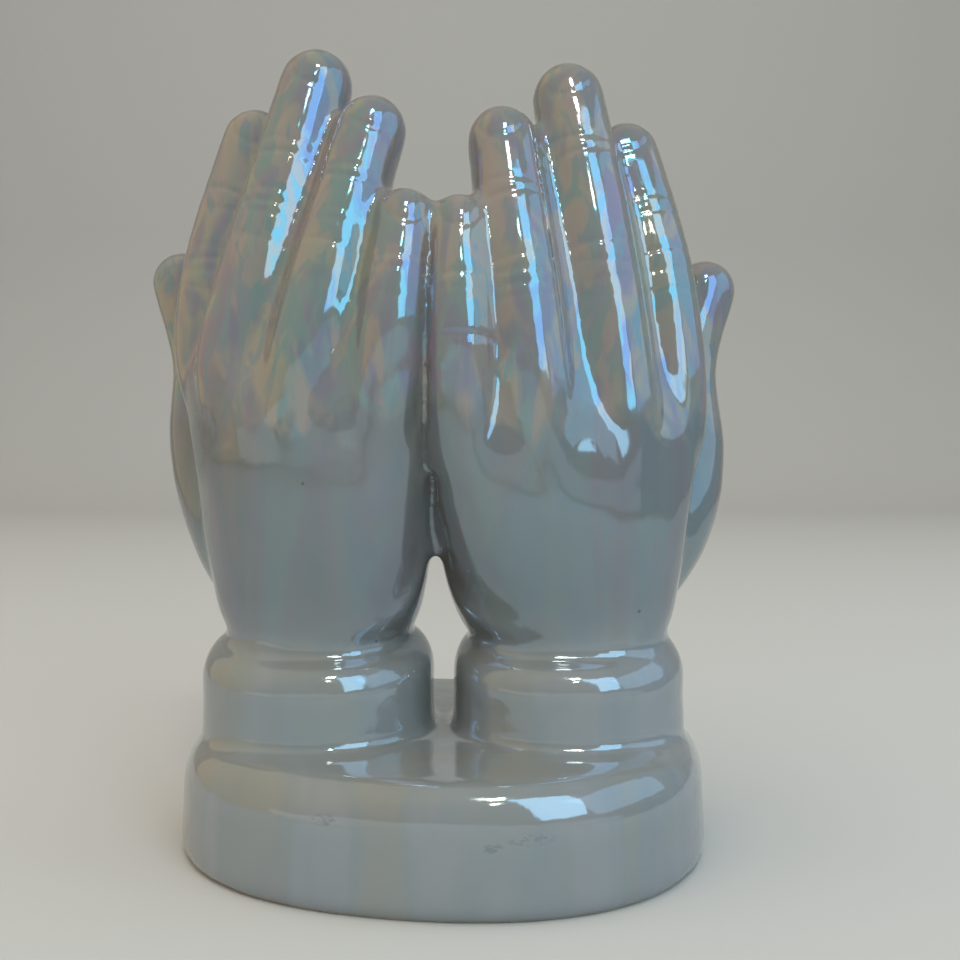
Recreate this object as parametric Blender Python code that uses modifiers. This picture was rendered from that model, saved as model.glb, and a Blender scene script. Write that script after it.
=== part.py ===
"""A pair of open ceramic hands on an oval base, slip cast in one piece.

The hands stand on two round cuffs with their backs to the front (-Y) and their
little fingers joined. The palms and thumbs face the back, and the hollow between
them holds small things. The origin is at the middle of the flat foot, +Z is up.
"""
import math

import bmesh
import bpy
from mathutils import Vector

MM = 0.001

# Sizes in millimetres.
wall = 5.0
vent_radius = 1.75
vent_setback = 24.0

base_half_width = 73.0
base_half_depth = 61.6
base_height = 31.0
base_roundness = 2.3
base_draft = 1.4
base_turn = -9.0
base_top_radius = 8.0
base_top_rise = 12.0
base_foot_radius = 4.5

cuff_half_width = 32.4
cuff_half_depth = 30.0
cuff_height = 26.0
cuff_lip_height = 15.5
cuff_lip_radius = 7.5
cuff_lip_rise = 11.0
cuff_neck_depth = 0.3
cuff_lean = 4.0
cuff_roundness = 2.1

wrist_half_depth = 21.5
wrist_setback = -4.0
wrist_root = 2.0

web_radius = 6.0
web_rise = 28.0
palm_bulge = 2.0
glaze_voxel = 1.5
glaze_smoothing = 14
body_triangles = 9600
hollow_voxel = 2.6
hollow_triangles = 1500
ground_depth = 20.0

# The two hands were modelled by hand and are not mirror images. Each digit is a
# row of centre points: distance from the middle plane, distance to the back,
# height above the cuff, and radius. The last one is the centre of the fingertip.
LEFT = {
    "side": -1,
    "wrist_x": 35.0,
    "wrist_half_width": 25.8,
    "edge": (13, -19, 46, 10.5),
    "little": [(24, -21, 30, 9), (16.3, -23.3, 56, 9.8), (12.8, -25, 85, 9.4), (9.8, -19, 112, 8.5)],
    "ring": [(34.5, -20, 34, 10), (37.3, -21, 63, 11), (31, -19, 93, 10.9), (19.7, -8, 138.5, 9.8)],
    "middle": [(45, -16, 36, 10), (56, -12.3, 69, 11.2), (50, -8, 101, 11.4), (36.5, 3, 154, 10.6)],
    "index": [(54, -3, 42, 10), (66.6, 4, 74, 10.4), (65.4, 6.5, 103, 10.4), (56, 13, 141.5, 9.6)],
    "thumb": [(37, -2, 4, 17), (52, 5, 18, 16), (62, 12, 33, 15.5), (71, 21, 53, 13.4),
              (75, 29.5, 79, 11), (83.3, 34, 103.5, 10)],
}
RIGHT = {
    "side": 1,
    "wrist_x": 34.6,
    "wrist_half_width": 27.8,
    "edge": (7, -19, 44, 10.5),
    "little": [(19, -21.5, 30, 9), (7, -24, 50, 9.8), (4.8, -25, 85, 9.4), (4.6, -19, 110.5, 8.5)],
    "ring": [(30, -21, 30, 10), (25.7, -22, 53, 11), (20.5, -19, 96, 10.9), (16, -8, 135.5, 9.8)],
    "middle": [(42, -17.5, 31, 10), (47.5, -14, 54, 11.4), (42, -9, 103, 11.4), (35, 3, 150.3, 10.5)],
    "index": [(54, -6.5, 36, 10), (63.4, -2, 59, 10.6), (60.5, 2, 100, 10.4), (52.8, 12, 137.5, 9.6)],
    "thumb": [(38, -1, 4, 17), (53, 6, 18, 16.5), (64, 14, 32, 16), (71, 22, 51, 13.6),
              (73, 29, 77, 10.6), (80.6, 34, 101, 10)],
}
FINGERS = ["little", "ring", "middle", "index"]

# The lower end of the seam that joins the two hands, as x, y, height above the cuff, radius
SEAM_FOOT = [(-2.3, -13, 23, 3), (-2.8, -18, 34, 5), (-3.0, -20.5, 44, 6)]

PEARL = (0.72, 0.74, 0.75, 1.0)


def smooth_path(points, steps):
    """Catmull-Rom points through a list of equal-length tuples."""
    ends = [points[0]] + list(points) + [points[-1]]
    path = []
    for i in range(len(points) - 1):
        a, b, c, d = ends[i:i + 4]
        for k in range(steps):
            t = k / steps
            path.append(tuple(
                0.5 * (2 * q + (r - p) * t + (2 * p - 5 * q + 4 * r - s) * t ** 2
                       + (3 * q - p - 3 * r + s) * t ** 3)
                for p, q, r, s in zip(a, b, c, d)))
    path.append(tuple(points[-1]))
    return path


def link(name, mesh, collection):
    item = bpy.data.objects.new(name, mesh)
    collection.objects.link(item)
    return item


def loft(name, rings, collection):
    """A closed body through rings of equal point counts, in millimetres."""
    bm = bmesh.new()
    rows = [[bm.verts.new(Vector(p) * MM) for p in ring] for ring in rings]
    count = len(rows[0])
    for low, high in zip(rows, rows[1:]):
        for i in range(count):
            j = (i + 1) % count
            bm.faces.new((low[i], low[j], high[j], high[i]))
    bm.faces.new(reversed(rows[0]))
    bm.faces.new(rows[-1])
    bmesh.ops.recalc_face_normals(bm, faces=bm.faces)
    mesh = bpy.data.meshes.new(name)
    bm.to_mesh(mesh)
    bm.free()
    return link(name, mesh, collection)


def oval(half_width, half_depth, roundness, z, x=0.0, y=0.0, turn=0.0, lean=0.0, count=72):
    """A superellipse ring, turned by an angle in degrees, its front lower by the lean."""
    ring = []
    c, s = math.cos(math.radians(turn)), math.sin(math.radians(turn))
    for i in range(count):
        a = 2 * math.pi * i / count
        cx = half_width * math.copysign(abs(math.cos(a)) ** (2 / roundness), math.cos(a))
        cy = half_depth * math.copysign(abs(math.sin(a)) ** (2 / roundness), math.sin(a))
        ring.append((x + cx * c - cy * s, y + cx * s + cy * c, z + lean * cy / half_depth))
    return ring


def quarter(radius, start, steps=6):
    """Offsets along a quarter round, as (inward, upward) pairs from its start angle."""
    turns = [start + math.pi / 2 * k / steps for k in range(steps + 1)]
    return [(radius * (1 - math.cos(a)), radius * math.sin(a)) for a in turns]


def base_body(name, inset, floor, collection):
    """The oval base between its floor and its top, drawn in by an inset."""
    top = base_height - inset
    foot = [(i, base_foot_radius + u + floor) for i, u in quarter(base_foot_radius, -math.pi / 2)]
    crown = [(i, top - base_top_rise * (1 - u / base_top_radius)) for i, u in quarter(base_top_radius, 0)]
    rings = []
    for inward, z in foot + crown:
        inward += inset + base_draft * max(0.0, z) / base_height
        rings.append(oval(base_half_width - inward, base_half_depth - inward, base_roundness, z,
                          turn=base_turn))
    return loft(name, rings, collection)


def cuff_body(name, hand, inset, collection):
    """A cuff with a lower band, a shallow neck and a round lip above it."""
    neck = cuff_height - cuff_lip_height
    lip = [(i, cuff_height - cuff_lip_rise * (1 - u / cuff_lip_radius))
           for i, u in quarter(cuff_lip_radius, 0)]
    profile = [(0.0, -base_top_radius), (0.0, 0.35 * neck), (0.4 * cuff_neck_depth, 0.8 * neck),
               (cuff_neck_depth, neck), (0.3 * cuff_neck_depth, neck + 0.25 * cuff_lip_height)] + lip
    rings = []
    for inward, up in profile:
        rings.append(oval(cuff_half_width - inset - inward, cuff_half_depth - inset - inward,
                          cuff_roundness, base_height + up - inset, hand["side"] * hand["wrist_x"],
                          wrist_setback, lean=cuff_lean * max(0.0, up) / cuff_height))
    return loft(name, rings, collection)


def band_ring(row, side):
    """A ring around a curved row of (x, y, z, half thickness), rounded at both ends."""
    line = smooth_path(row, 4)
    front, back = [], []
    for i, (x, y, z, half) in enumerate(line):
        before = line[max(i - 1, 0)]
        after = line[min(i + 1, len(line) - 1)]
        along = Vector((after[0] - before[0], after[1] - before[1])).normalized()
        out = Vector((along.y, -along.x))
        front.append((x + out.x * half, y + out.y * half, z))
        back.append((x - out.x * half, y - out.y * half, z))

    def round_end(centre, edge, turn):
        x, y, z, half = centre
        start = math.atan2(edge[1] - y, edge[0] - x)
        angles = [start + turn * k / 7 for k in range(1, 7)]
        return [(x + half * math.cos(a), y + half * math.sin(a), z) for a in angles]

    ring = front + round_end(line[-1], front[-1], math.pi)
    ring += back[::-1] + round_end(line[0], back[0], math.pi)
    return [(side * x, y, z) for x, y, z in ring]


def palm_body(name, hand, inset, collection):
    """The wrist and palm, from inside the cuff up to the row of finger roots."""
    level = base_height + cuff_height
    knuckles = [hand["edge"]] + [hand[finger][1] for finger in FINGERS]
    spread = hand["wrist_half_width"] - wrist_half_depth
    wrist = []
    for k in range(len(knuckles)):
        across = -spread + 2 * spread * k / (len(knuckles) - 1)
        wrist.append((hand["wrist_x"] + across, wrist_setback, 0.0, wrist_half_depth))
    rings = []
    for down in (cuff_height + wrist_root, 0.15 * cuff_height, 0.0):
        row = [(x, y, level - down, half - inset) for x, y, z, half in wrist]
        rings.append(band_ring(row, hand["side"]))
    steps = 9
    for k in range(1, steps + 1):
        s = k / steps
        row = []
        for n, (low, high) in enumerate(zip(wrist, knuckles)):
            shift = s ** 0.8
            thin = s ** 1.4 if n == 0 else math.sin(math.pi / 2 * s)
            cupped = 0.0 if n == 0 else (low[3] - high[3]) * (thin - s)
            forward = palm_bulge * math.sin(math.pi * s) + cupped
            row.append((low[0] + (high[0] - low[0]) * shift,
                        low[1] + (high[1] - low[1]) * s - forward,
                        level + (high[2] - low[2] - inset) * s,
                        low[3] + (high[3] - low[3]) * thin - inset))
        rings.append(band_ring(row, hand["side"]))
    for k in range(1, 7):
        s = k / 6
        up = web_rise * s
        thin = s * s * (3 - 2 * s)
        row = [(hand["edge"][0], hand["edge"][1] - 0.2 * up, level + hand["edge"][2] - inset + up,
                hand["edge"][3] + (web_radius - hand["edge"][3]) * thin - inset)]
        for finger in FINGERS:
            root, joint = hand[finger][1:3]
            along = up / (joint[2] - root[2])
            row.append((root[0] + (joint[0] - root[0]) * along, root[1] + (joint[1] - root[1]) * along,
                        level + root[2] - inset + up, root[3] + (web_radius - root[3]) * thin - inset))
        rings.append(band_ring(row, hand["side"]))
    return loft(name, rings, collection)


def rod(name, points, side, collection):
    """A rod along centre points with a radius at each, and a dome at its far end."""
    level = base_height + cuff_height
    path = smooth_path(points, 6)
    tip = Vector(path[-1][:3])
    heading = (tip - Vector(path[-3][:3])).normalized()
    radius = path[-1][3]
    for k in range(1, 7):
        a = math.pi / 2 * k / 6
        ahead = tip + heading * radius * math.sin(a)
        path.append((*ahead, max(radius * math.cos(a), 0.3)))
    curve = bpy.data.curves.new(name, "CURVE")
    curve.dimensions = "3D"
    curve.bevel_depth = MM
    curve.bevel_resolution = 6
    curve.use_fill_caps = True
    spline = curve.splines.new("POLY")
    spline.points.add(len(path) - 1)
    for point, (x, y, z, r) in zip(spline.points, path):
        point.co = (side * x * MM, y * MM, (level + z) * MM, 1.0)
        point.radius = r
    drawn = link(name, curve, collection)
    bpy.context.view_layer.update()
    mesh = bpy.data.meshes.new_from_object(drawn.evaluated_get(bpy.context.evaluated_depsgraph_get()))
    bpy.data.objects.remove(drawn)
    bpy.data.curves.remove(curve)
    bm = bmesh.new()
    bm.from_mesh(mesh)
    bmesh.ops.remove_doubles(bm, verts=bm.verts, dist=0.00001)
    bmesh.ops.recalc_face_normals(bm, faces=bm.faces)
    bm.to_mesh(mesh)
    bm.free()
    return link(name, mesh, collection)


def between(first, second):
    """The centre line of the web that joins two neighbouring digits."""
    count = min(len(first), len(second))
    line = []
    for a, b in list(zip(first, second))[1:count]:
        height = min(a[2], b[2])
        line.append(((a[0] + b[0]) / 2, (a[1] + b[1]) / 2, height, web_radius))
    return line


def digit_bodies(hand, collection):
    side = hand["side"]
    bodies = [rod(digit, hand[digit], side, collection) for digit in FINGERS + ["thumb"]]
    for first, second in zip(FINGERS, FINGERS[1:]):
        bodies.append(rod("web", between(hand[first], hand[second]), side, collection))
    return bodies


def seam_web(collection):
    """The web between the two palms' edges and little fingers, near the middle plane."""
    mirrored = [(-x, y, z, r) for x, y, z, r in LEFT["little"]]
    return rod("seam", SEAM_FOOT + between(mirrored, RIGHT["little"]), 1, collection)


def evaluated(item):
    bpy.context.view_layer.update()
    return bpy.data.meshes.new_from_object(item.evaluated_get(bpy.context.evaluated_depsgraph_get()))


def melt(name, bodies, voxel, smoothing, triangles, collection):
    """Joins closed bodies into one soft skin with a set number of triangles."""
    bm = bmesh.new()
    for body in bodies:
        bm.from_mesh(body.data)
        bpy.data.objects.remove(body)
    mesh = bpy.data.meshes.new(name)
    bm.to_mesh(mesh)
    bm.free()
    item = link(name, mesh, collection)
    skin = item.modifiers.new("Skin", "REMESH")
    skin.mode = "VOXEL"
    skin.voxel_size = voxel * MM
    soft = item.modifiers.new("Soften", "SMOOTH")
    soft.factor = 0.5
    soft.iterations = smoothing
    item.data = evaluated(item)
    item.modifiers.clear()
    item.data.calc_loop_triangles()
    fewer = item.modifiers.new("Fewer", "DECIMATE")
    fewer.ratio = min(1.0, triangles / len(item.data.loop_triangles))
    item.data = evaluated(item)
    item.modifiers.clear()
    return item


for old in list(bpy.data.objects):
    bpy.data.objects.remove(old)

parts = bpy.data.collections.new("hands trinket dish")
cutters = bpy.data.collections.new("cutters")
bpy.context.scene.collection.children.link(parts)
bpy.context.scene.collection.children.link(cutters)

# Outer skin
bodies = [base_body("base", 0.0, -1.0, parts), seam_web(parts)]
for hand in (LEFT, RIGHT):
    bodies += [cuff_body("cuff", hand, 0.0, parts), palm_body("palm", hand, 0.0, parts)]
    bodies += digit_bodies(hand, parts)
dish = melt("hands_dish", bodies, glaze_voxel, glaze_smoothing, body_triangles, parts)

# Cast hollow, the same forms drawn in by the wall, with the fingers left solid
cores = [base_body("base core", wall, wall, cutters)]
for hand in (LEFT, RIGHT):
    cores += [cuff_body("cuff core", hand, wall, cutters), palm_body("palm core", hand, wall, cutters)]
hollow = melt("hollow", cores, hollow_voxel, 6, hollow_triangles, cutters)

# Vent in the foot, which the kiln's hot air leaves by
bpy.ops.mesh.primitive_cylinder_add(vertices=24, radius=vent_radius * MM, depth=3 * wall * MM,
                                    location=(0, vent_setback * MM, 0))
vent = bpy.context.object
vent.name = "vent"

# Everything below the flat foot
bpy.ops.mesh.primitive_cube_add(size=1.0)
ground = bpy.context.object
ground.name = "ground"
ground.scale = (4 * base_half_width * MM, 4 * base_half_depth * MM, ground_depth * MM)
ground.location.z = -ground_depth / 2 * MM
bpy.ops.object.transform_apply(location=True, rotation=False, scale=True)

for cutter in (hollow, vent, ground):
    for holder in list(cutter.users_collection):
        holder.objects.unlink(cutter)
    cutters.objects.link(cutter)
    cutter.hide_render = True
    cutter.display_type = "WIRE"
    cut = dish.modifiers.new(cutter.name, "BOOLEAN")
    cut.operation = "DIFFERENCE"
    cut.object = cutter

glaze = bpy.data.materials.new("pearl_glaze")
glaze.use_nodes = True
shader = glaze.node_tree.nodes["Principled BSDF"]
shader.inputs["Base Color"].default_value = PEARL
shader.inputs["Roughness"].default_value = 0.15
shader.inputs["Metallic"].default_value = 0.0
dish.data.materials.clear()
dish.data.materials.append(glaze)
dish.data.shade_smooth()
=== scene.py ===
"""A pair of open ceramic hands with a pearl lustre glaze, standing on one oval base.

The glazed skin is modelled here in full and stands for the one CAD solid. The hands'
backs face the front (-Y), the palms and thumbs face the back. Sizes are in millimetres
and are turned into metres where a mesh is made.
"""
import math

import bmesh
import bpy
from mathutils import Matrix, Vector


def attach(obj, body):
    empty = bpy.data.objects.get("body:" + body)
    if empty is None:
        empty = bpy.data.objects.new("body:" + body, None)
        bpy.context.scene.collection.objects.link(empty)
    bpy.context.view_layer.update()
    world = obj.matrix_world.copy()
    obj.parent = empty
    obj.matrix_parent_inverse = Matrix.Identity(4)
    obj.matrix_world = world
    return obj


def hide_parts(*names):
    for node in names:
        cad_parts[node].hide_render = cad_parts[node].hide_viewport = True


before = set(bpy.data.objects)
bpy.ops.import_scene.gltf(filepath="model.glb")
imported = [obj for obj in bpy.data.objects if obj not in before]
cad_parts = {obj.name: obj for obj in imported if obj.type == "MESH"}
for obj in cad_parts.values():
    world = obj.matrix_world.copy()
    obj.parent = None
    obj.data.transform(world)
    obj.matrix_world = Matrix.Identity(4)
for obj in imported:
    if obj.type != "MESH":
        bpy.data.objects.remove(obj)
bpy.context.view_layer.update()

MM = 0.001

base_half_width = 73.0
base_half_depth = 61.6
base_height = 31.0
base_roundness = 2.3
base_draft = 1.4
base_turn = -9.0
base_top_radius = 8.0
base_top_rise = 12.0
base_foot_radius = 4.5

cuff_half_width = 32.4
cuff_half_depth = 30.0
cuff_height = 26.0
cuff_lip_height = 15.5
cuff_lip_radius = 7.5
cuff_lip_rise = 11.0
cuff_neck_depth = 0.3
cuff_lean = 4.0
cuff_roundness = 2.1

wrist_half_depth = 21.5
wrist_setback = -4.0
wrist_root = 2.0

web_radius = 6.0
web_rise = 28.0
palm_bulge = 2.0

# The web between the two hands, and the narrow groove along its front
seam_setback = 2.5
seam_radius = 5.0
groove_depth = 1.7
groove_half_width = 0.9
groove_fade = 6.0

vent_radius = 1.75
vent_setback = 24.0
vent_depth = 5.0

glaze_voxel = 0.85
glaze_smoothing = 46
skin_triangles = 190000
wave_depth = 0.3
wave_length = 11.0
knuckle_dip = 1.3

# Creases and nails on the backs of the fingers
crease_depth = 0.34
crease_half_width = 0.6
crease_reach = 1.6
lowest_mark = 125.0
nail_centre = 1.5
nail_half_length = 5.6
nail_share = 0.6
nail_border = 0.75
nail_squareness = 2.4

level = base_height + cuff_height

# Each digit is a row of centre points: distance from the middle plane, distance to
# the back, height above the cuff, and radius. The last is the fingertip's centre.
LEFT = {
    "side": -1,
    "wrist_x": 35.0,
    "wrist_half_width": 25.8,
    "edge": (13, -19, 46, 10.5),
    "little": [(24, -21, 30, 9), (16.3, -23.3, 56, 9.8), (12.8, -25, 85, 9.4), (9.8, -19, 112, 8.5)],
    "ring": [(34.5, -20, 34, 10), (37.3, -21, 63, 11), (31, -19, 93, 10.9), (19.7, -8, 138.5, 9.8)],
    "middle": [(45, -16, 36, 10), (56, -12.3, 69, 11.2), (50, -8, 101, 11.4), (36.5, 3, 154, 10.6)],
    "index": [(54, -3, 42, 10), (66.6, 4, 74, 10.4), (65.4, 6.5, 103, 10.4), (56, 13, 141.5, 9.6)],
    "thumb": [(37, -2, 4, 17), (52, 5, 18, 16), (62, 12, 33, 15.5), (71, 21, 53, 13.4),
              (75, 29.5, 79, 11), (83.3, 34, 103.5, 10)],
}
RIGHT = {
    "side": 1,
    "wrist_x": 34.6,
    "wrist_half_width": 27.8,
    "edge": (7, -19, 44, 10.5),
    "little": [(19, -21.5, 30, 9), (7, -24, 50, 9.8), (4.8, -25, 85, 9.4), (4.6, -19, 110.5, 8.5)],
    "ring": [(30, -21, 30, 10), (25.7, -22, 53, 11), (20.5, -19, 96, 10.9), (16, -8, 135.5, 9.8)],
    "middle": [(42, -17.5, 31, 10), (47.5, -14, 54, 11.4), (42, -9, 103, 11.4), (35, 3, 150.3, 10.5)],
    "index": [(54, -6.5, 36, 10), (63.4, -2, 59, 10.6), (60.5, 2, 100, 10.4), (52.8, 12, 137.5, 9.6)],
    "thumb": [(38, -1, 4, 17), (53, 6, 18, 16.5), (64, 14, 32, 16), (71, 22, 51, 13.6),
              (73, 29, 77, 10.6), (80.6, 34, 101, 10)],
}
FINGERS = ["little", "ring", "middle", "index"]

# The lower end of the seam that joins the two hands, as x, y, height above the cuff, radius
SEAM_FOOT = [(-2.3, -11, 23, 3.8), (-2.8, -14, 34, 4.4), (-3.0, -17, 44, 4.8)]

# Heights of the creases across the finger joints, on the backs of the fingers
CREASES = {
    ("left", "index"): [179.7, 174.6, 164, 160.6, 157.2, 152.2],
    ("left", "middle"): [190, 186.5, 176, 172.7, 169.6, 162.8],
    ("left", "ring"): [180.5, 177, 168, 165.4, 159.4],
    ("left", "little"): [156, 152.8, 146],
    ("right", "little"): [151, 147.6, 137],
    ("right", "ring"): [176.5, 172.8, 156, 152.4, 149.4, 146.4],
    ("right", "middle"): [190.6, 186.6, 161.8, 156.6, 151.8, 147.4],
    ("right", "index"): [176.8, 172.4, 161.8, 156.2, 151],
}

# Pinholes in the glaze, each painted as a dark spot of shade, as x, y, z, and rubbed marks on
# the base as x, y, z and half length
PINHOLE_SHADE_SPOTS = [(-35.0, -28, 99.5), (-17.5, -28, 57.4), (-6.0, -30, 35.0), (31.3, -30, 53.3),
            (51.8, -22, 65.6)]
RUBS = [(21.8, -60, 19.3, 7.0), (13.0, -60, 17.6, 3.0), (-26.0, -56, 22.0, 4.0)]
pinhole_radius = 0.55
pinhole_depth = 12.0
rub_half_height = 1.6
rub_depth = 14.0

# Thickness of the lustre film in nanometres, in its plain, violet and cyan parts
plain_film = 28.0
violet_film = 142.0
cyan_film = 157.0

# Heights in metres: the lustre and the fingers' painted warm reflection set in over the first
# two, give or take a ragged edge, and the wrists' grey, darkened as painted shade, turns into
# the paler foot over the last two
lustre_and_reflection_from = 0.136
lustre_and_reflection_full = 0.148
lustre_and_reflection_raggedness = 0.05
foot_from = 0.072
foot_full = 0.048


def smooth_path(points, steps):
    """Catmull-Rom points through a list of equal-length tuples."""
    ends = [points[0]] + list(points) + [points[-1]]
    path = []
    for i in range(len(points) - 1):
        a, b, c, d = ends[i:i + 4]
        for k in range(steps):
            t = k / steps
            path.append(tuple(
                0.5 * (2 * q + (r - p) * t + (2 * p - 5 * q + 4 * r - s) * t ** 2
                       + (3 * q - p - 3 * r + s) * t ** 3)
                for p, q, r, s in zip(a, b, c, d)))
    path.append(tuple(points[-1]))
    return path


def face_out(piece):
    """Welds a closed piece and turns its faces outwards."""
    bpy.ops.object.mode_set(mode="EDIT")
    bpy.ops.mesh.select_all(action="SELECT")
    bpy.ops.mesh.remove_doubles(threshold=0.00001)
    bpy.ops.mesh.normals_make_consistent(inside=False)
    bpy.ops.object.mode_set(mode="OBJECT")
    return piece


def loft(name, rings):
    """A closed piece, extruded ring by ring from a filled circle."""
    bpy.ops.object.select_all(action="DESELECT")
    bpy.ops.mesh.primitive_circle_add(vertices=len(rings[0]), fill_type="NGON")
    piece = bpy.context.object
    piece.name = name
    for vertex, point in zip(piece.data.vertices, rings[0]):
        vertex.co = Vector(point) * MM
    bpy.ops.object.mode_set(mode="EDIT")
    bpy.ops.mesh.select_all(action="SELECT")
    bm = bmesh.from_edit_mesh(piece.data)
    bm.verts.ensure_lookup_table()
    row = list(range(len(rings[0])))
    for ring in rings[1:]:
        places = {tuple(round(c, 7) for c in bm.verts[i].co): k for k, i in enumerate(row)}
        bpy.ops.mesh.extrude_region_move()
        bm = bmesh.from_edit_mesh(piece.data)
        bm.verts.ensure_lookup_table()
        lifted = [v for v in bm.verts if v.select]
        row = [0] * len(ring)
        for vertex in lifted:
            k = places[tuple(round(c, 7) for c in vertex.co)]
            row[k] = vertex.index
            vertex.co = Vector(ring[k]) * MM
        bmesh.update_edit_mesh(piece.data)
    bpy.ops.object.mode_set(mode="OBJECT")
    return face_out(piece)


def oval(half_width, half_depth, roundness, z, x=0.0, y=0.0, turn=0.0, lean=0.0, count=96):
    """A superellipse ring, turned by an angle in degrees, its front lower by the lean."""
    ring = []
    c, s = math.cos(math.radians(turn)), math.sin(math.radians(turn))
    for i in range(count):
        a = 2 * math.pi * i / count
        cx = half_width * math.copysign(abs(math.cos(a)) ** (2 / roundness), math.cos(a))
        cy = half_depth * math.copysign(abs(math.sin(a)) ** (2 / roundness), math.sin(a))
        ring.append((x + cx * c - cy * s, y + cx * s + cy * c, z + lean * cy / half_depth))
    return ring


def quarter(radius, start, steps=10):
    """Offsets along a quarter round, as (inward, upward) pairs from its start angle."""
    turns = [start + math.pi / 2 * k / steps for k in range(steps + 1)]
    return [(radius * (1 - math.cos(a)), radius * math.sin(a)) for a in turns]


def base_piece():
    foot = [(i, base_foot_radius + u - 1.0) for i, u in quarter(base_foot_radius, -math.pi / 2)]
    crown = [(i, base_height - base_top_rise * (1 - u / base_top_radius))
             for i, u in quarter(base_top_radius, 0)]
    rings = []
    for inward, z in foot + crown:
        inward += base_draft * max(0.0, z) / base_height
        rings.append(oval(base_half_width - inward, base_half_depth - inward, base_roundness, z,
                          turn=base_turn))
    return loft("base", rings)


def cuff_piece(hand):
    """A cuff with a lower band, a shallow neck and a round lip above it."""
    neck = cuff_height - cuff_lip_height
    lip = [(i, cuff_height - cuff_lip_rise * (1 - u / cuff_lip_radius))
           for i, u in quarter(cuff_lip_radius, 0)]
    profile = [(0.0, -base_top_radius), (0.0, 0.35 * neck), (0.4 * cuff_neck_depth, 0.8 * neck),
               (cuff_neck_depth, neck), (0.3 * cuff_neck_depth, neck + 0.25 * cuff_lip_height)] + lip
    rings = [oval(cuff_half_width - inward, cuff_half_depth - inward, cuff_roundness, base_height + up,
                  hand["side"] * hand["wrist_x"], wrist_setback,
                  lean=cuff_lean * max(0.0, up) / cuff_height) for inward, up in profile]
    return loft("cuff", rings)


def band_ring(row, side):
    """A ring around a curved row of (x, y, z, half thickness), rounded at both ends."""
    line = smooth_path(row, 6)
    front, back = [], []
    for i, (x, y, z, half) in enumerate(line):
        before = line[max(i - 1, 0)]
        after = line[min(i + 1, len(line) - 1)]
        along = Vector((after[0] - before[0], after[1] - before[1])).normalized()
        front.append((x + along.y * half, y - along.x * half, z))
        back.append((x - along.y * half, y + along.x * half, z))

    def round_end(centre, edge):
        x, y, z, half = centre
        start = math.atan2(edge[1] - y, edge[0] - x)
        angles = [start + math.pi * k / 9 for k in range(1, 9)]
        return [(x + half * math.cos(a), y + half * math.sin(a), z) for a in angles]

    ring = front + round_end(line[-1], front[-1])
    ring += back[::-1] + round_end(line[0], back[0])
    return [(side * x, y, z) for x, y, z in ring]


def palm_piece(hand):
    """The wrist and palm, from inside the cuff up between the finger roots."""
    knuckles = [hand["edge"]] + [hand[finger][1] for finger in FINGERS]
    spread = hand["wrist_half_width"] - wrist_half_depth
    wrist = []
    for k in range(len(knuckles)):
        across = -spread + 2 * spread * k / (len(knuckles) - 1)
        wrist.append((hand["wrist_x"] + across, wrist_setback, 0.0, wrist_half_depth))
    rings = []
    for down in (cuff_height + wrist_root, 2 * wrist_root, 0):
        row = [(x, y, level - down, half) for x, y, z, half in wrist]
        rings.append(band_ring(row, hand["side"]))
    steps = 14
    for k in range(1, steps + 1):
        s = k / steps
        row = []
        for n, (low, high) in enumerate(zip(wrist, knuckles)):
            shift = s ** 0.8
            thin = s ** 1.4 if n == 0 else math.sin(math.pi / 2 * s)
            cupped = 0.0 if n == 0 else (low[3] - high[3]) * (thin - s)
            forward = palm_bulge * math.sin(math.pi * s) + cupped
            dip = 0.0 if n == 0 else knuckle_dip * s ** 5
            row.append((low[0] + (high[0] - low[0]) * shift,
                        low[1] + (high[1] - low[1]) * s - forward,
                        level + (high[2] - low[2]) * s,
                        low[3] + (high[3] - low[3]) * thin - dip))
        rings.append(band_ring(row, hand["side"]))
    for k in range(1, 9):
        s = k / 8
        up = web_rise * s
        thin = math.sin(math.pi / 2 * s)
        row = [(hand["edge"][0], hand["edge"][1] - 0.2 * up, level + hand["edge"][2] + up,
                hand["edge"][3] + (web_radius - hand["edge"][3]) * thin)]
        for finger in FINGERS:
            root, joint = hand[finger][1:3]
            along = up / (joint[2] - root[2])
            half = root[3] - knuckle_dip
            row.append((root[0] + (joint[0] - root[0]) * along, root[1] + (joint[1] - root[1]) * along,
                        level + root[2] + up, half + (web_radius - half) * thin))
        rings.append(band_ring(row, hand["side"]))
    return loft("palm", rings)


def rod_piece(name, points, side):
    """A rod along centre points with a radius at each, and a dome at its far end."""
    path = smooth_path(points, 10)
    tip = Vector(path[-1][:3])
    heading = (tip - Vector(path[-3][:3])).normalized()
    radius = path[-1][3]
    for k in range(1, 13):
        a = math.pi / 2 * k / 12
        ahead = tip + heading * radius * math.sin(a)
        path.append((*ahead, max(radius * math.cos(a), 0.3)))
    bpy.ops.object.select_all(action="DESELECT")
    bpy.ops.curve.primitive_bezier_curve_add()
    piece = bpy.context.object
    piece.name = name
    curve = piece.data
    curve.splines.clear()
    curve.dimensions = "3D"
    curve.bevel_depth = MM
    curve.bevel_resolution = 12
    curve.use_fill_caps = True
    spline = curve.splines.new("POLY")
    spline.points.add(len(path) - 1)
    for point, (x, y, z, r) in zip(spline.points, path):
        point.co = (side * x * MM, y * MM, (level + z) * MM, 1.0)
        point.radius = r
    bpy.ops.object.convert(target="MESH")
    return face_out(bpy.context.object)


def between(first, second):
    """The centre line of the web that joins two neighbouring digits."""
    count = min(len(first), len(second))
    line = []
    for a, b in list(zip(first, second))[1:count]:
        line.append(((a[0] + b[0]) / 2, (a[1] + b[1]) / 2, min(a[2], b[2]), web_radius))
    return line


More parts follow.
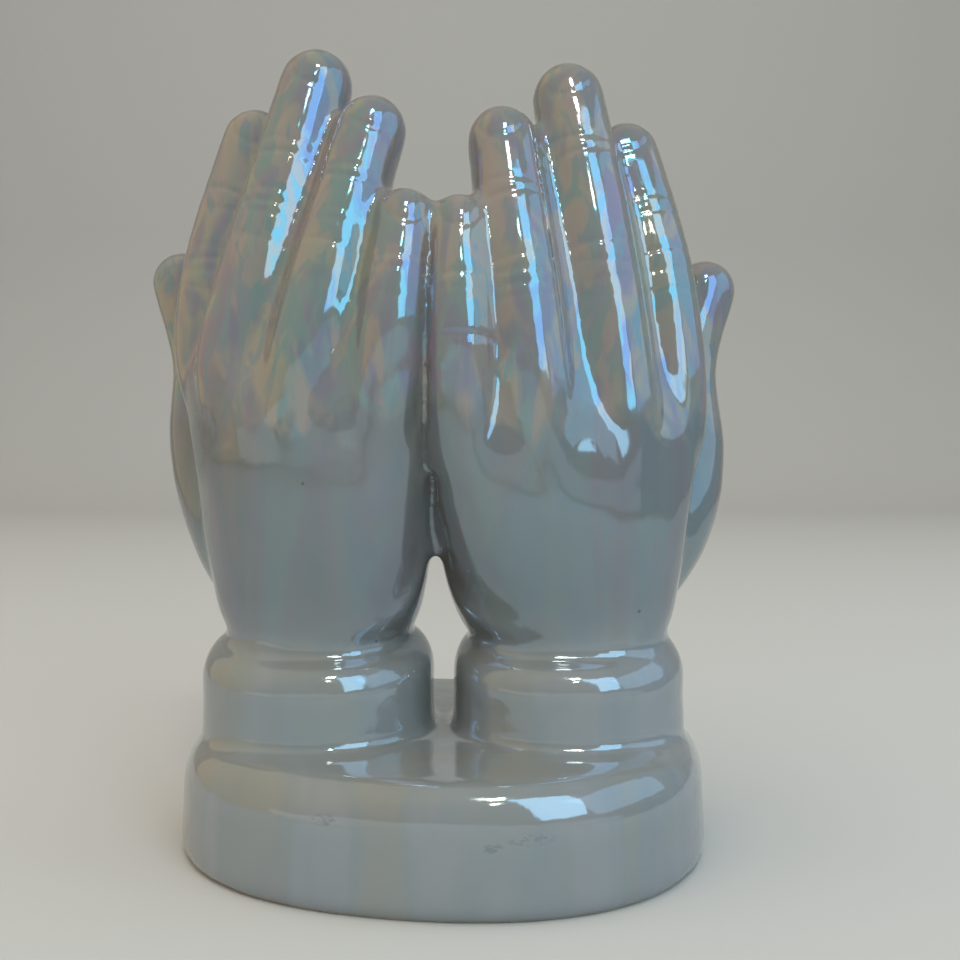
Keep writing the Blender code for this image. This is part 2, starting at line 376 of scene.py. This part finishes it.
def add_modifier(piece, kind, **settings):
    bpy.ops.object.select_all(action="DESELECT")
    piece.select_set(True)
    bpy.context.view_layer.objects.active = piece
    modifier = piece.modifiers.new(kind.title(), kind)
    for name, value in settings.items():
        setattr(modifier, name, value)
    bpy.ops.object.modifier_apply(modifier=modifier.name)


def hand_pieces(hand):
    pieces = [cuff_piece(hand), palm_piece(hand)]
    for digit in FINGERS + ["thumb"]:
        pieces.append(rod_piece(digit, hand[digit], hand["side"]))
    for first, second in zip(FINGERS, FINGERS[1:]):
        pieces.append(rod_piece("web", between(hand[first], hand[second]), hand["side"]))
    return pieces


def crease_lines():
    """The joint creases as rows of centre, direction, radius, depth and slant."""
    lines = []
    for (name, finger), heights in CREASES.items():
        hand = LEFT if name == "left" else RIGHT
        path = smooth_path(hand[finger], 12)
        for height in heights:
            near = min(range(1, len(path) - 1), key=lambda i: abs(path[i][2] + level - height))
            x, y, z, radius = path[near]
            centre = Vector((hand["side"] * x, y, height))
            up = Vector((hand["side"] * (path[near + 1][0] - path[near - 1][0]),
                         path[near + 1][1] - path[near - 1][1],
                         path[near + 1][2] - path[near - 1][2])).normalized()
            depth = 0.45 + 0.55 * math.sin(2.3 * height) ** 2
            lines.append((centre, up, radius, depth, 0.10 * math.sin(4.1 * height)))
    return lines


def nail_frames():
    """The nails as rows of centre, direction along the finger, and radius."""
    frames = []
    for hand in (LEFT, RIGHT):
        for finger in FINGERS:
            path = smooth_path(hand[finger], 12)
            tip = Vector((hand["side"] * path[-1][0], path[-1][1], path[-1][2] + level))
            below = Vector((hand["side"] * path[-4][0], path[-4][1], path[-4][2] + level))
            up = (tip - below).normalized()
            frames.append((tip + up * nail_centre, up, path[-1][3]))
    return frames


def finger_marks(piece):
    """Marks creases and nail borders on the backs of the fingers with a vertex group.

    A nail's lower border is cut deeper than its free edge.
    """
    marks = piece.vertex_groups.new(name="marks")
    lines = crease_lines()
    nails = nail_frames()
    for vertex in piece.data.vertices:
        at = vertex.co / MM
        if at.z < lowest_mark or vertex.normal.y > 0.2:
            continue
        deepest = 0.0
        for centre, up, radius, depth, slant in lines:
            if abs(at.z - centre.z) > 6:
                continue
            away = at - centre
            across = away.x / radius
            off = away.dot(up) + slant * away.x + 0.5 * across * across
            if abs(off) > crease_reach or (away - up * off).length > radius + 1.0:
                continue
            fade = max(0.0, 1.0 - abs(across) ** 2.5)
            deepest = max(deepest, depth * fade * math.exp(-(off / crease_half_width) ** 2))
        for centre, up, radius in nails:
            away = at - centre
            if away.length > 1.7 * radius:
                continue
            along = away.dot(up) / nail_half_length
            across = away.x / (nail_share * radius)
            ring = abs(along) ** nail_squareness + abs(across) ** nail_squareness
            outside = (ring ** (1 / nail_squareness) - 1.0) * nail_half_length
            edge = math.exp(-(outside / nail_border) ** 2)
            deepest = max(deepest, edge * (0.85 if along < 0 else 0.45))
        if deepest > 0.02:
            marks.add([vertex.index], deepest, "REPLACE")


def groove_mark(piece, line):
    """Marks the bottom of the groove between the two hands with a vertex group."""
    groove = piece.vertex_groups.new(name="groove")
    path = smooth_path(line, 12)
    for vertex in piece.data.vertices:
        at = vertex.co / MM
        up = at.z - level
        if vertex.normal.y > -0.3 or abs(at.x) > 9 or not path[0][2] < up < path[-1][2]:
            continue
        groove_x = min(path, key=lambda point: abs(point[2] - up))[0]
        fade = min(1.0, (up - path[0][2]) / groove_fade, (path[-1][2] - up) / groove_fade)
        share = fade * math.exp(-((at.x - groove_x) / groove_half_width) ** 2)
        if share > 0.02:
            groove.add([vertex.index], share, "REPLACE")


# Glazed skin
pieces = [base_piece()]
mirrored = [(-x, y, z, r) for x, y, z, r in LEFT["little"]]
seam = [(x, y + seam_setback, z, seam_radius) for x, y, z, r in between(mirrored, RIGHT["little"])]
pieces.append(rod_piece("seam", SEAM_FOOT + seam, 1))
for hand in (LEFT, RIGHT):
    pieces += hand_pieces(hand)
bpy.ops.object.select_all(action="DESELECT")
for piece in pieces:
    piece.select_set(True)
skin = pieces[0]
bpy.context.view_layer.objects.active = skin
bpy.ops.object.join()
skin.name = "glazed_hands"
skin.data.name = "glazed_hands"
add_modifier(skin, "REMESH", mode="VOXEL", voxel_size=glaze_voxel * MM)
add_modifier(skin, "SMOOTH", factor=0.5, iterations=glaze_smoothing)
finger_marks(skin)
groove_mark(skin, SEAM_FOOT + seam)
add_modifier(skin, "DISPLACE", direction="NORMAL", mid_level=0.0, strength=-crease_depth * MM,
             vertex_group="marks")
add_modifier(skin, "DISPLACE", direction="NORMAL", mid_level=0.0, strength=-groove_depth * MM,
             vertex_group="groove")
waves = bpy.data.textures.new("waves", "CLOUDS")
waves.noise_scale = wave_length * MM
waves.noise_depth = 1
add_modifier(skin, "DISPLACE", direction="NORMAL", mid_level=1.0, strength=wave_depth * MM,
             texture=waves, texture_coords="LOCAL")
add_modifier(skin, "SMOOTH", factor=0.5, iterations=2)
skin.vertex_groups.clear()

# Flat foot with its vent
skin.data.calc_loop_triangles()
share = skin_triangles / len(skin.data.loop_triangles)
if share < 1:
    add_modifier(skin, "DECIMATE", ratio=share)
bpy.ops.object.mode_set(mode="EDIT")
bpy.ops.mesh.select_all(action="SELECT")
bpy.ops.mesh.bisect(plane_co=(0, 0, 0), plane_no=(0, 0, 1), use_fill=True, clear_inner=True,
                    threshold=0.000001)
bpy.ops.object.mode_set(mode="OBJECT")
bpy.ops.object.select_all(action="DESELECT")
bpy.ops.mesh.primitive_cylinder_add(vertices=32, radius=vent_radius * MM, depth=2 * vent_depth * MM,
                                    location=(0, vent_setback * MM, 0))
vent = bpy.context.object
add_modifier(skin, "BOOLEAN", operation="DIFFERENCE", object=vent)
bpy.data.objects.remove(vent)
bpy.ops.object.select_all(action="DESELECT")
skin.select_set(True)
bpy.context.view_layer.objects.active = skin
bpy.ops.object.shade_smooth_by_angle(angle=math.radians(50))


class Value:
    """Wraps a shader socket so that maths on it is written as Python."""

    def __init__(self, tree, socket):
        self.tree = tree
        self.socket = socket

    def math(self, operation, *values):
        return self.tree.add("ShaderNodeMath", {"operation": operation},
                             {i: v for i, v in enumerate(values)})

    def __add__(self, other):
        return self.math("ADD", self, other)

    def __radd__(self, other):
        return self.math("ADD", other, self)

    def __sub__(self, other):
        return self.math("SUBTRACT", self, other)

    def __rsub__(self, other):
        return self.math("SUBTRACT", other, self)

    def __mul__(self, other):
        return self.math("MULTIPLY", self, other)

    def __rmul__(self, other):
        return self.math("MULTIPLY", other, self)

    def clamp(self):
        return self.tree.add("ShaderNodeClamp", {}, {0: self})


class Tree:
    """The nodes of a material or of the world, all added by one method."""

    def __init__(self, owner):
        owner.use_nodes = True
        self.owner = owner
        self.nodes = owner.node_tree.nodes
        self.links = owner.node_tree.links

    def put(self, socket, value):
        if isinstance(value, Value):
            self.links.new(value.socket, socket)
        else:
            socket.default_value = value

    def add(self, kind, settings, inputs, output=0):
        node = self.nodes.new(kind)
        for name, value in settings.items():
            if name == "stops":
                ramp = node.color_ramp
                while len(ramp.elements) < len(value):
                    ramp.elements.new(1.0)
                for element, (place, colour) in zip(ramp.elements, value):
                    element.position = place
                    element.color = colour
            else:
                setattr(node, name, value)
        for name, value in inputs.items():
            self.put(node.inputs[name], value)
        return Value(self, node.outputs[output])

    def set(self, node, name, value):
        """Sets or links a socket of a node that the tree already has."""
        self.put(self.nodes[node].inputs[name], value)

    def ramp(self, value, *stops):
        """A colour ramp with its stops as (place, colour)."""
        return self.add("ShaderNodeValToRGB", {"stops": stops}, {0: value})

    def mix(self, share, first, second):
        """One colour turning into another by a share from 0 to 1."""
        return self.add("ShaderNodeMix", {"data_type": "RGBA"}, {0: share, 6: first, 7: second}, 2)

    def blend(self, share, first, second):
        """One shader turning into another by a share from 0 to 1."""
        return self.add("ShaderNodeMixShader", {}, {0: share, 1: first, 2: second})

    def change(self, value, start, end):
        """A smooth change from 0 at the start value to 1 at the end value."""
        return self.add("ShaderNodeMapRange", {"interpolation_type": "SMOOTHSTEP"},
                        {"Value": value, "From Min": start, "From Max": end})


def grey(value):
    return (value, value, value, 1.0)


def pearl_lustre():
    """A grey body under a film whose thickness changes in patches, and bare clay underneath."""
    glaze = Tree(bpy.data.materials.new("pearl_lustre"))
    place = glaze.add("ShaderNodeTexCoord", {}, {}, "Object")
    height = glaze.add("ShaderNodeSeparateXYZ", {}, {0: place}, "Z")

    def noise(scale, detail, distortion, stretch=(1, 1, 1)):
        """Noise in the object's own space, drawn out along an axis by a small stretch value."""
        spread = glaze.add("ShaderNodeMapping", {}, {"Vector": place, "Scale": stretch})
        return glaze.add("ShaderNodeTexNoise", {"noise_dimensions": "3D"},
                         {"Vector": spread, "Scale": scale, "Detail": detail, "Roughness": 0.5,
                          "Distortion": distortion})

    def spot(centre, reach):
        """A mask of 1 at a place on the front, falling to 0 at its reach along each axis."""
        centre = [c * MM for c in centre]
        reach = [r * MM for r in reach]
        near = glaze.add("ShaderNodeVectorMath", {"operation": "SUBTRACT"}, {0: place, 1: centre})
        scaled = glaze.add("ShaderNodeVectorMath", {"operation": "DIVIDE"}, {0: near, 1: reach})
        away = glaze.add("ShaderNodeVectorMath", {"operation": "LENGTH"}, {0: scaled}, "Value")
        return (1 - away).clamp()

    # Fingers painted warm as a painted reflection of a warm room, up to a ragged painted edge of
    # that reflection; wrists and palms a darker grey as painted shade, with faint upright streaks;
    # and a paler foot
    fingers = glaze.change(height + noise(85, 3.0, 0.8, (1, 1, 0.5)) * lustre_and_reflection_raggedness,
                           lustre_and_reflection_from, lustre_and_reflection_full)
    below = 1 - fingers
    patches = noise(60, 2.0, 1.2, (1, 1, 0.45))
    drift = noise(30, 3.0, 0.6, (1, 1, 0.25))
    # Painted reflection: the warm cast of this tint, and its pink and green patches, which are partly
    # the lustre's own tone and partly its painted sheen
    reflection_and_lustre_tint = glaze.ramp(patches * 0.65 + drift * 0.35,
                      (0.36, (0.27, 0.285, 0.215, 1)), (0.43, (0.30, 0.27, 0.21, 1)),
                      (0.49, (0.32, 0.255, 0.225, 1)), (0.55, (0.30, 0.275, 0.215, 1)),
                      (0.62, (0.265, 0.28, 0.225, 1)), (0.70, (0.29, 0.26, 0.25, 1)))
    columns = noise(42, 2.0, 0.8, (1, 1, 0.12))
    # Painted shade: the wrists and palms a darker grey than the fingers and the foot
    shaded_wrists = glaze.ramp(columns,
                        (0.36, (0.21, 0.175, 0.15, 1)), (0.45, (0.165, 0.17, 0.15, 1)),
                        (0.53, (0.19, 0.17, 0.17, 1)), (0.62, (0.17, 0.195, 0.185, 1)))
    foot = glaze.ramp(columns,
                      (0.38, (0.28, 0.27, 0.235, 1)), (0.50, (0.255, 0.27, 0.26, 1)),
                      (0.62, (0.285, 0.29, 0.29, 1)))
    # The wrists' painted shade fades into the foot's own paler tone further down
    lower = glaze.mix(glaze.change(height, foot_from, foot_full), shaded_wrists, foot)
    # The fingers' painted warm reflection laid over the lower part above the ragged edge
    body = glaze.mix(fingers * 0.8 + 0.06, lower, reflection_and_lustre_tint)

    # Pinholes painted dark as the shade in their tiny pits, and faint rubbed marks broken up by
    # fine specks
    reach = (pinhole_radius, pinhole_depth, pinhole_radius)
    pinhole_shade = sum((spot((x, y, z), reach) * 3).clamp() * 0.8 for x, y, z in PINHOLE_SHADE_SPOTS)
    specks = glaze.ramp(noise(900, 2.0, 0.0, (0.5, 1, 1.4)), (0.48, grey(0)), (0.60, grey(0.35)))
    rubs = sum((spot((x, y, z), (half, rub_depth, rub_half_height)) * 2).clamp() * specks
               for x, y, z, half in RUBS)
    # One dark colour for the pinholes' painted shade and for the rubbed marks
    body = glaze.mix((pinhole_shade + rubs).clamp(), body, (0.07, 0.065, 0.055, 1))

    # Shares of the thicker films, which fade out towards the wrists
    violet = glaze.ramp(noise(75, 2.0, 1.4, (1, 1, 0.4)), (0.47, grey(0)), (0.57, grey(1)))
    violet = violet * (fingers * 0.85 + 0.15)
    cyan = glaze.ramp(noise(110, 2.0, 1.6, (1, 1, 0.4)), (0.51, grey(0)), (0.58, grey(1)))
    cyan = cyan * fingers + below * 0.15
    ripples = glaze.add("ShaderNodeBump", {}, {"Strength": 0.2, "Distance": 0.0005,
                                               "Height": noise(170, 2.0, 0.0, (1, 1, 0.5))})

    def lustre(film):
        """The glaze under one thickness of the film."""
        return glaze.add("ShaderNodeBsdfPrincipled", {}, {
            "Base Color": body, "Roughness": 0.08, "Metallic": 0.15, "IOR": 1.5, "Coat Weight": 0.3,
            "Coat Roughness": 0.04, "Thin Film Thickness": film, "Thin Film IOR": 2.2,
            "Normal": ripples})

    surface = glaze.blend(violet, lustre(plain_film), lustre(violet_film))
    surface = glaze.blend(cyan, surface, lustre(cyan_film))
    clay = glaze.add("ShaderNodeBsdfPrincipled", {},
                     {"Base Color": (0.55, 0.50, 0.43, 1), "Roughness": 0.85})
    surface = glaze.blend(height.math("LESS_THAN", height, 0.4 * MM), surface, clay)
    glaze.set("Material Output", "Surface", surface)
    glaze.nodes.remove(glaze.nodes["Principled BSDF"])
    return glaze.owner


skin.data.materials.clear()
skin.data.materials.append(pearl_lustre())

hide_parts("hands_dish")
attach(skin, "root")


def floor_sweep():
    """A pale floor that bends up into a high backdrop behind the piece."""
    bpy.ops.object.select_all(action="DESELECT")
    bpy.ops.mesh.primitive_plane_add(size=6.0, location=(0, -1.5, 0))
    floor = bpy.context.object
    floor.name = "floor"
    bpy.ops.object.mode_set(mode="EDIT")
    bpy.ops.mesh.select_all(action="DESELECT")
    bm = bmesh.from_edit_mesh(floor.data)
    for edge in bm.edges:
        edge.select = all(v.co.y > 2 for v in edge.verts)
    bmesh.update_edit_mesh(floor.data)
    steps = 8
    length = 0.12
    for k in range(steps):
        bend = math.pi / 2 * (k + 0.5) / steps
        bpy.ops.mesh.extrude_region_move(TRANSFORM_OT_translate={
            "value": (0, length * math.cos(bend), length * math.sin(bend))})
    bpy.ops.mesh.extrude_region_move(TRANSFORM_OT_translate={"value": (0, 0, 3.0)})
    bpy.ops.object.mode_set(mode="OBJECT")
    bpy.ops.object.shade_smooth()
    pale = Tree(bpy.data.materials.new("pale_sweep"))
    pale.set("Principled BSDF", "Base Color", (0.52, 0.515, 0.50, 1))
    pale.set("Principled BSDF", "Roughness", 0.9)
    floor.data.materials.append(pale.owner)
    return floor


def area_light(name, place, target, size, power, colour):
    """An area lamp that faces its target and isn't seen by the camera."""
    bpy.ops.object.light_add(type="AREA", location=place)
    lamp = bpy.context.object
    lamp.name = name
    lamp.data.shape = "RECTANGLE"
    lamp.data.size, lamp.data.size_y = size
    lamp.data.energy = power
    lamp.data.color = colour
    lamp.visible_camera = False
    lamp.rotation_euler = (Vector(target) - Vector(place)).to_track_quat("-Z", "Y").to_euler()
    return lamp


def studio_world():
    """Pale surroundings, warmer on the left and cooler on the right, and even in front."""
    world = bpy.data.worlds.new("studio")
    studio = Tree(world)
    around = studio.add("ShaderNodeTexCoord", {}, {}, "Generated")
    rightward = studio.add("ShaderNodeSeparateXYZ", {}, {0: around}, "X")
    backward = studio.add("ShaderNodeSeparateXYZ", {}, {0: around}, "Y")
    sides = studio.mix(studio.change(rightward, -0.7, 0.7), (0.58, 0.47, 0.32, 1), (0.24, 0.30, 0.34, 1))
    colour = studio.mix(studio.change(backward, -1.0, -0.4), (0.35, 0.345, 0.33, 1), sides)
    studio.set("Background", "Color", colour)
    studio.set("Background", "Strength", 1.0)
    return world


# Floor, lights, surroundings and camera
floor = floor_sweep()
middle = (0, 0, 0.11)

# A window, two small bulbs and a cool panel, which give the long bright streaks
area_light("window", (0.66, -1.02, 0.90), middle, (0.54, 1.08), 4.6, (0.55, 0.84, 1.0))
area_light("upper bulb", (0.12, -0.75, 1.25), middle, (0.16, 0.16), 2.1, (1.0, 0.90, 0.72))
area_light("lower bulb", (0.13, -0.95, 1.05), middle, (0.09, 0.09), 0.5, (1.0, 0.82, 0.55))
area_light("cool panel", (1.43, -0.40, 0.95), middle, (1.7, 1.1), 3.8, (0.60, 0.85, 1.0))

# A low dim card in front, so that the floor's reflection reaches up to the finger roots
area_light("front card", (0, -2.1, 0.21), (0, 0, 0.21), (9.0, 0.42), 3.0, (1.0, 0.96, 0.90))

# Soft lamps that don't show in the glaze
overhead = area_light("overhead", (0.0, -0.2, 2.2), middle, (3.0, 3.0), 34.0, (1.0, 1.0, 1.0))
warm_fill = area_light("warm fill", (-1.5, -0.5, 0.7), middle, (1.6, 1.6), 4.0, (1.0, 0.86, 0.68))
cool_fill = area_light("cool fill", (1.5, -0.3, 0.35), middle, (1.2, 1.2), 3.0, (0.50, 0.80, 1.0))
for lamp in (overhead, warm_fill, cool_fill):
    lamp.visible_glossy = False

bpy.context.scene.world = studio_world()

# A camera close by, level with the finger roots and tilted a little down. Its focal
# length and its drop are in pixels of a picture 960 wide.
picture_width = 960
focal_length = 1020
drop = 30
tilt = math.atan(drop / focal_length)
bpy.ops.object.camera_add(location=(0.00995, -0.290, 0.108), rotation=(math.pi / 2 - tilt, 0, 0))
camera = bpy.context.object
camera.data.sensor_width = 36.0
camera.data.lens = 36.0 * focal_length / picture_width
camera.data.clip_start = 0.01
bpy.context.scene.camera = camera
bpy.context.scene.view_settings.view_transform = "Standard"
